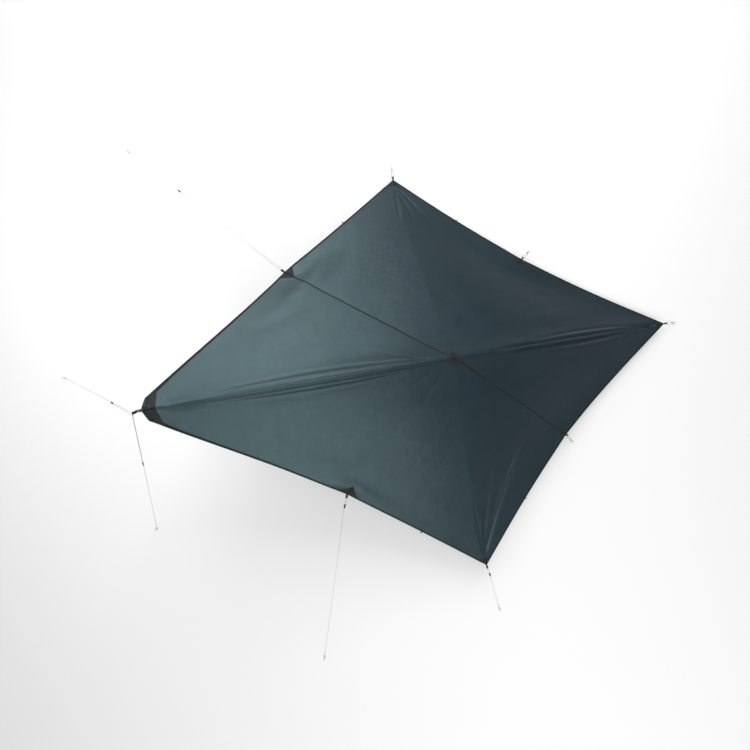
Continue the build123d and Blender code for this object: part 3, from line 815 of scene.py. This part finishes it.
faces = grid_faces(len(PLATE_PROFILE), 48, close_rows=True, close_columns=True, flip=True)
plate = mesh_piece("pole_plate", points, faces, uvs)
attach(plate, "canopy")
webbing_pieces.append(plate)

EYELET_PROFILE = (
    (0.0046, -0.0016), (0.0053, -0.0020), (0.0076, -0.0019), (0.0084, -0.0016), (0.0082, -0.0015),
    (0.0047, -0.0014), (0.0047, 0.0014), (0.0082, 0.0015), (0.0084, 0.0016), (0.0076, 0.0019),
    (0.0053, 0.0020), (0.0046, 0.0016),
)
points = []
for radius, height in EYELET_PROFILE:
    for turn in turns:
        points.append((radius * math.cos(turn), radius * math.sin(turn), PIVOT_HEIGHT + height))
eyelet = mesh_piece("pole_eyelet", points, grid_faces(12, 48, close_rows=True, close_columns=True))
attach(eyelet, "canopy")

# The centre loop: a strap sewn down at both ends, standing up between them.
across_ridge = np.array([0.0, 1.0, 0.0])
ridge_point = sheet.at(0.5, 0.5)
ridge_up = sheet.at(0.5, 0.5, 1.0) - ridge_point
ridge_up = ridge_up - across_ridge * ridge_up.dot(across_ridge)
ridge_up /= np.linalg.norm(ridge_up)
ridge_along = np.cross(across_ridge, ridge_up)
arch = smooth_path(
    ((-0.024, 0.0022), (-0.016, 0.0024), (-0.0165, 0.006), (-0.012, 0.0118), (0.0, 0.0138), (0.012, 0.0118),
     (0.0165, 0.006), (0.016, 0.0024), (0.024, 0.0022)), 6)
centre_strap = bent_strap(
    "centre_strap", arch, ridge_point, ridge_along, ridge_up, across_ridge, WEB_WIDTH, WEB_THICK
)
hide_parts("centre_loop")
webbing_pieces.append(centre_strap)

# Small folded tabs at the quarter points of the hem.
for number, (s, t, inward) in enumerate(
    ((0.75, 0, (0, 1)), (1, 0.25, (-1, 0)), (0.25, 1, (0, -1)), (0, 0.75, (1, 0)))
):
    edge = sheet.at(s, t)
    inner = sheet.at(s + inward[0] * 0.006 / SIDE, t + inward[1] * 0.006 / SIDE)
    out = (edge - inner) / np.linalg.norm(edge - inner)
    up = sheet.at(s, t, 1.0) - edge
    up -= out * up.dot(out)
    up /= np.linalg.norm(up)
    sideways = np.cross(up, out)
    fold = smooth_path(
        ((-0.016, 0.0019), (-0.002, 0.0020), (0.004, 0.0018), (0.012, 0.0022), (0.0148, 0.0),
         (0.012, -0.0022), (0.004, -0.0018), (-0.002, -0.0020), (-0.014, -0.0019)), 4)
    piece = bent_strap("edge_tab_%d" % number, fold, edge, out, up, sideways, TAB_WIDTH, TAB_THICK)
    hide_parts("edge_tabs")
    webbing_pieces.append(piece)

# Two tabs sewn across the centre seam.
for number, t in enumerate((0.25, 0.75)):
    top, bottom = [], []
    for distance in np.linspace(-SEAM_TAB_HALF, SEAM_TAB_HALF, 8):
        s_spots = 0.5 + SPREAD * SEAM_TAB_WIDTH / 2 / SIDE
        t_spots = np.full(len(SPREAD), t + distance / SIDE)
        top.append(sheet.at(s_spots, t_spots, 0.0012 + WEB_THICK * CROWN))
        bottom.append(sheet.at(s_spots, t_spots, 0.0010))
    piece = ribbon("seam_tab_%d" % number, top, bottom, np.linspace(0, 2 * SEAM_TAB_HALF, 8))
    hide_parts("seam_tabs")
    webbing_pieces.append(piece)


# ---------------------------------------------------------------- materials
class Nodes:
    """A material being wired: its nodes by short calls."""

    def __init__(self, name):
        self.material = bpy.data.materials.new(name)
        self.material.use_nodes = True
        self.tree = self.material.node_tree
        self.shader = self.tree.nodes["Principled BSDF"]

    def node(self, kind, **values):
        made = self.tree.nodes.new(kind)
        for key, value in values.items():
            if hasattr(made, key):
                setattr(made, key, value)
            else:
                made.inputs[key].default_value = value
        return made

    def join(self, start, end):
        self.tree.links.new(start, end)

    def texture(self, kind, **values):
        """A texture over the object's own space."""
        made = self.node("ShaderNodeTex" + kind, **values)
        self.join(self.node("ShaderNodeTexCoord").outputs["Object"], made.inputs["Vector"])
        return made

    def math(self, operation, a, b=0.0):
        made = self.tree.nodes.new("ShaderNodeMath")
        made.operation = operation
        for slot, value in zip(made.inputs, (a, b)):
            if isinstance(value, (int, float)):
                slot.default_value = value
            else:
                self.join(value, slot)
        return made.outputs[0]

    def ramp(self, value, stops):
        made = self.tree.nodes.new("ShaderNodeValToRGB")
        while len(made.color_ramp.elements) < len(stops):
            made.color_ramp.elements.new(0.5)
        for element, (position, colour) in zip(made.color_ramp.elements, stops):
            element.position = position
            element.color = (*colour, 1)
        self.join(value, made.inputs[0])
        return made.outputs[0]

    def roughness(self, value, low, high):
        stops = ((0.3, (low,) * 3), (0.7, (high,) * 3))
        self.join(self.ramp(value, stops), self.shader.inputs["Roughness"])

    def bump(self, height, distance, strength=1.0, below=None):
        made = self.node("ShaderNodeBump", Strength=strength, Distance=distance)
        self.join(height, made.inputs["Height"])
        if below is not None:
            self.join(below, made.inputs["Normal"])
        return made.outputs[0]

    def mix(self, share, a, b):
        made = self.tree.nodes.new("ShaderNodeMix")
        made.data_type = "RGBA"
        for slot, value in ((0, share), (6, a), (7, b)):
            if isinstance(value, (int, float)):
                made.inputs[slot].default_value = value
            elif isinstance(value, tuple):
                made.inputs[slot].default_value = (*value, 1)
            else:
                self.join(value, made.inputs[slot])
        return made.outputs[2]


def line_mask(build, coordinate, pitch, width):
    """1 on thin lines that repeat every pitch along a coordinate, 0 between them."""
    cell = build.math("FRACT", build.math("DIVIDE", coordinate, pitch))
    off = build.math("ABSOLUTE", build.math("SUBTRACT", cell, 0.5))
    return build.math("GREATER_THAN", off, 0.5 - width / pitch / 2)


def cloth_coordinates(build):
    texture = build.node("ShaderNodeUVMap", uv_map="cloth")
    split = build.node("ShaderNodeSeparateXYZ")
    build.join(texture.outputs[0], split.inputs[0])
    return split.outputs[0], split.outputs[1]


def canopy_material():
    build = Nodes("canopy_fabric")
    u, v = cloth_coordinates(build)
    x, y = build.math("MULTIPLY", u, SIDE), build.math("MULTIPLY", v, SIDE)
    grid = build.math("MAXIMUM", line_mask(build, x, 0.006, 0.0006), line_mask(build, y, 0.006, 0.0006))
    cloudy = build.texture("Noise", Scale=2.2, Detail=4.0, Roughness=0.55)
    tone = build.ramp(cloudy.outputs["Fac"], ((0.30, (0.005, 0.010, 0.016)), (0.70, (0.007, 0.013, 0.020))))
    colour = build.mix(build.math("MULTIPLY", grid, 0.30), tone, (0.016, 0.026, 0.032))
    build.join(colour, build.shader.inputs["Base Color"])
    weave_u = build.math("SINE", build.math("MULTIPLY", x, 2 * math.pi / 0.0011))
    weave_v = build.math("SINE", build.math("MULTIPLY", y, 2 * math.pi / 0.0011))
    weave = build.math("MULTIPLY", weave_u, weave_v)
    height = build.math("ADD", build.math("MULTIPLY", weave, 0.35), grid)
    crumple = build.texture("Noise", Scale=16.0, Detail=5.0, Roughness=0.6)
    fine_bump = build.bump(height, 0.00018, 0.6)
    build.join(build.bump(crumple.outputs["Fac"], 0.004, 0.12, fine_bump), build.shader.inputs["Normal"])
    build.roughness(crumple.outputs["Fac"], 0.33, 0.39)
    build.shader.inputs["Specular IOR Level"].default_value = 0.42
    build.shader.inputs["Specular Tint"].default_value = (0.64, 0.98, 1.0, 1)
    build.shader.inputs["Sheen Weight"].default_value = 0.05
    build.shader.inputs["Sheen Roughness"].default_value = 0.4
    return build.material


def patch_material():
    build = Nodes("patch_fabric")
    speckle = build.texture("Voronoi", Scale=420.0)
    cloudy = build.texture("Noise", Scale=60.0, Detail=4.0)
    value = build.math("ADD", build.math("MULTIPLY", speckle.outputs["Distance"], 0.5), cloudy.outputs["Fac"])
    colour = build.ramp(value, ((0.35, (0.004, 0.005, 0.006)), (0.95, (0.016, 0.018, 0.019))))
    build.join(colour, build.shader.inputs["Base Color"])
    build.join(build.bump(speckle.outputs["Distance"], 0.0006, 0.5), build.shader.inputs["Normal"])
    build.roughness(cloudy.outputs["Fac"], 0.58, 0.74)
    build.shader.inputs["Specular IOR Level"].default_value = 0.16
    return build.material


def hem_material():
    """Folded fabric with a row of stitches near its inner edge; u runs along it in metres."""
    build = Nodes("hem_fabric")
    u, v = cloth_coordinates(build)
    dash = build.math("LESS_THAN", build.math("FRACT", build.math("DIVIDE", u, 0.0036)), 0.7)
    rows = build.math(
        "MAXIMUM",
        build.math("LESS_THAN", build.math("ABSOLUTE", build.math("SUBTRACT", v, 0.84)), 0.045),
        build.math("LESS_THAN", build.math("ABSOLUTE", build.math("SUBTRACT", v, 0.20)), 0.045),
    )
    stitch = build.math("MULTIPLY", dash, rows)
    cloudy = build.texture("Noise", Scale=140.0, Detail=3.0)
    cloth = build.ramp(cloudy.outputs["Fac"], ((0.3, (0.003, 0.005, 0.006)), (0.7, (0.008, 0.011, 0.013))))
    colour = build.mix(stitch, cloth, (0.05, 0.06, 0.06))
    build.join(colour, build.shader.inputs["Base Color"])
    height = build.math("ADD", build.math("MULTIPLY", cloudy.outputs["Fac"], 0.5), stitch)
    build.join(build.bump(height, 0.0004, 0.7), build.shader.inputs["Normal"])
    build.roughness(cloudy.outputs["Fac"], 0.45, 0.6)
    build.shader.inputs["Specular IOR Level"].default_value = 0.08
    return build.material


def webbing_material():
    """Flat woven webbing: ribs across, a twill along; u is in metres, v goes across the strap."""
    build = Nodes("webbing")
    u, v = cloth_coordinates(build)
    around = build.math("MULTIPLY", u, 2 * math.pi / 0.0016)
    slant = build.math("ADD", around, build.math("MULTIPLY", v, 42.0))
    ribs = build.math("SINE", slant)
    weft = build.math("SINE", build.math("MULTIPLY", v, 2 * math.pi * 11))
    height = build.math("ADD", build.math("MULTIPLY", ribs, 0.5), build.math("MULTIPLY", weft, 0.5))
    colour = build.ramp(
        build.math("ADD", build.math("MULTIPLY", height, 0.5), 0.5),
        ((0.1, (0.004, 0.004, 0.005)), (0.9, (0.022, 0.023, 0.025))),
    )
    build.join(colour, build.shader.inputs["Base Color"])
    build.join(build.bump(height, 0.0003, 0.8), build.shader.inputs["Normal"])
    fuzz = build.texture("Noise", Scale=900.0)
    build.roughness(fuzz.outputs["Fac"], 0.62, 0.82)
    build.shader.inputs["Specular IOR Level"].default_value = 0.06
    return build.material


def cord_material(name, dark, light):
    """Braided cord: a diamond pattern of strands."""
    build = Nodes(name)
    braid = build.texture("Voronoi", Scale=900.0)
    fleck = build.texture("Noise", Scale=300.0, Detail=3.0)
    value = build.math("ADD", build.math("MULTIPLY", braid.outputs["Distance"], 0.6), fleck.outputs["Fac"])
    build.join(build.ramp(value, ((0.4, dark), (1.0, light))), build.shader.inputs["Base Color"])
    build.join(build.bump(braid.outputs["Distance"], 0.0003, 0.7), build.shader.inputs["Normal"])
    build.roughness(fleck.outputs["Fac"], 0.6, 0.8)
    return build.material


def metal_material(name, dark, light, roughness, stretch):
    """Drawn or anodised alloy with fine lengthwise marks."""
    build = Nodes(name)
    place = build.node("ShaderNodeTexCoord").outputs["Object"]
    mapping = build.node("ShaderNodeMapping")
    mapping.inputs["Scale"].default_value = stretch
    build.join(place, mapping.inputs["Vector"])
    marks = build.node("ShaderNodeTexNoise", Scale=1.0, Detail=6.0, Roughness=0.65)
    build.join(mapping.outputs[0], marks.inputs["Vector"])
    colour = build.ramp(marks.outputs["Fac"], ((0.3, dark), (0.7, light)))
    build.join(colour, build.shader.inputs["Base Color"])
    build.shader.inputs["Metallic"].default_value = 1.0
    build.roughness(marks.outputs["Fac"], *roughness)
    build.join(build.bump(marks.outputs["Fac"], 0.0001, 0.4), build.shader.inputs["Normal"])
    return build.material


def moulded_material(name, dark, light, roughness, grain):
    """Moulded plastic or rubber with a fine spark-eroded grain."""
    build = Nodes(name)
    pits = build.texture("Noise", Scale=grain, Detail=4.0, Roughness=0.6)
    wear = build.texture("Noise", Scale=90.0, Detail=3.0)
    colour = build.ramp(wear.outputs["Fac"], ((0.35, dark), (0.75, light)))
    build.join(colour, build.shader.inputs["Base Color"])
    build.roughness(wear.outputs["Fac"], *roughness)
    build.join(build.bump(pits.outputs["Fac"], 0.00025, 0.6), build.shader.inputs["Normal"])
    return build.material


def give(pieces, material):
    for piece in pieces:
        piece.data.materials.clear()
        piece.data.materials.append(material)


give(panel_pieces, canopy_material())
give(patch_pieces, patch_material())
give(hem_pieces + seam_pieces, hem_material())
give(webbing_pieces, webbing_material())
give(cord_pieces, cord_material("cord", (0.10, 0.09, 0.08), (0.24, 0.22, 0.19)))
give(peg_loop_pieces, cord_material("peg_loop_cord", (0.012, 0.012, 0.013), (0.05, 0.05, 0.055)))
peg_metal = metal_material("peg_alloy", (0.26, 0.26, 0.27), (0.44, 0.44, 0.45), (0.26, 0.42), (900, 900, 60))
give([eyelet], peg_metal)
tube_metal = metal_material(
    "tube_alloy", (0.10, 0.11, 0.12), (0.17, 0.18, 0.19), (0.28, 0.40), (1400, 1400, 25)
)
plastic = moulded_material(
    "black_plastic", (0.010, 0.010, 0.011), (0.026, 0.026, 0.028), (0.42, 0.58), 2400.0
)
rubber = moulded_material("rubber_foot", (0.010, 0.010, 0.010), (0.030, 0.029, 0.028), (0.72, 0.9), 1500.0)
SLOT_MATERIALS = {
    "peg_alloy": peg_metal, "tube_alloy": tube_metal, "black_plastic": plastic, "rubber_foot": rubber,
}
for entry in frame["record"]["subparts"]:
    if entry["material_slot"] in SLOT_MATERIALS:
        for slot in frame["nodes"][entry["node"]].material_slots:
            slot.material = SLOT_MATERIALS[entry["material_slot"]]

# ---------------------------------------------------------------- floor and light
floor_corners = [(-60, -60, 0), (64, -60, 0), (64, 60, 0), (-60, 60, 0)]
floor = mesh_piece("floor", floor_corners, [(0, 1, 2, 3)], smooth=False)
build = Nodes("floor")
build.shader.inputs["Base Color"].default_value = (0.62, 0.62, 0.62, 1)
build.shader.inputs["Roughness"].default_value = 0.9
give([floor], build.material)


def area_light(name, place, target, size, energy):
    light = bpy.data.lights.new(name, "AREA")
    light.energy = energy
    light.size = size
    lamp = link(name, light)
    lamp.location = place
    lamp.rotation_euler = (Vector(target) - Vector(place)).to_track_quat("-Z", "Y").to_euler()


sun = bpy.data.lights.new("overhead", "SUN")
sun.energy = 1.3
sun.angle = math.radians(60)
link("overhead", sun)
area_light("key", (-1.4, 1.8, 3.0), (1.2, 0.2, 0.8), 1.8, 50)
area_light("box_left", (3.3, 6.4, 6.6), (1.2, 0.2, 0.8), 4.8, 560)
area_light("box_low", (1.6, 6.4, 3.4), (0.9, 0.6, 0.7), 3.0, 150)
area_light("box_right", (3.0, -6.4, 6.9), (1.3, -0.4, 0.6), 4.8, 470)
world = bpy.data.worlds.new("studio")
bpy.context.scene.world = world
world.use_nodes = True
tree = world.node_tree
glow = tree.nodes["Background"]
glow.inputs["Strength"].default_value = 0.24
wall = tree.nodes.new("ShaderNodeBackground")
wall.inputs["Color"].default_value = (0.80, 0.80, 0.80, 1)
seen = tree.nodes.new("ShaderNodeLightPath")
choose = tree.nodes.new("ShaderNodeMixShader")
glow.inputs["Color"].default_value = (1, 1, 1, 1)
tree.links.new(seen.outputs["Is Camera Ray"], choose.inputs[0])
tree.links.new(glow.outputs[0], choose.inputs[1])
tree.links.new(wall.outputs[0], choose.inputs[2])
tree.links.new(choose.outputs[0], tree.nodes["World Output"].inputs["Surface"])
bpy.context.scene.view_settings.view_transform = "Standard"
